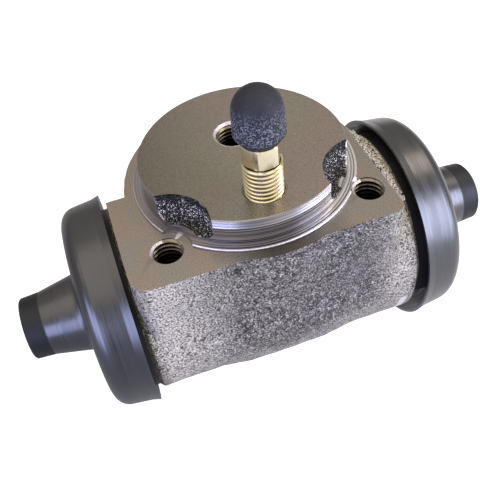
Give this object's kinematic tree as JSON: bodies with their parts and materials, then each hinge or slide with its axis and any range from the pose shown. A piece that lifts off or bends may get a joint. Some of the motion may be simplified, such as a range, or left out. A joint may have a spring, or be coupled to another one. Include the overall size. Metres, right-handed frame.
{
  "type": "drum brake wheel cylinder",
  "caption": "Cast hydraulic wheel cylinder with a round pilot on a bolted flange, opposed pistons behind rubber boots, and a capped bleed screw.",
  "frame": {"origin": "centre of the pilot on the flange face", "axes": "+X along the bore to the right boot, +Z out of the flange along the pilot, -Y to the bolt lugs"},
  "size_m": [0.126, 0.0617, 0.0895],
  "materials": {
    "cast_iron": "rough cast sides, machined flange, pilot and necks",
    "yellow_zinc": "yellow zinc plate",
    "cap_rubber": "matt moulded rubber",
    "piston_alloy": "turned",
    "cup_rubber": "moulded rubber",
    "pressed_steel": "pressed sheet",
    "spring_steel": "drawn wire",
    "boot_rubber": "smooth moulded rubber"
  },
  "bodies": {
    "cylinder": {"cylinder_body": "cast_iron", "boot_left": "boot_rubber", "boot_right": "boot_rubber", "return_spring": "spring_steel"},
    "left_piston": {"piston_left": "piston_alloy", "cup_left": "cup_rubber", "expander_left": "pressed_steel"},
    "right_piston": {"piston_right": "piston_alloy", "cup_right": "cup_rubber", "expander_right": "pressed_steel"},
    "bleeder": {"bleed_screw": "yellow_zinc"},
    "cap": {"bleed_cap": "cap_rubber"}
  },
  "joints": [
    {"name": "left_piston_slide", "type": "slide", "parent": "cylinder", "child": "left_piston", "axis": [-1, 0, 0], "range_m": [-0.003, 0.008], "deforming": ["return_spring"]},
    {"name": "right_piston_slide", "type": "slide", "parent": "cylinder", "child": "right_piston", "axis": [1, 0, 0], "range_m": [-0.003, 0.008], "deforming": ["return_spring"]},
    {"name": "bleed_turn", "type": "hinge", "parent": "cylinder", "child": "bleeder", "pos_m": [0, -0.0159, 0], "axis": [0, 0, 1], "range_deg": [0, 270]},
    {"name": "cap_pull", "type": "slide", "parent": "bleeder", "child": "cap", "axis": [0, 0, 1], "range_m": [0, 0.012]}
  ]
}
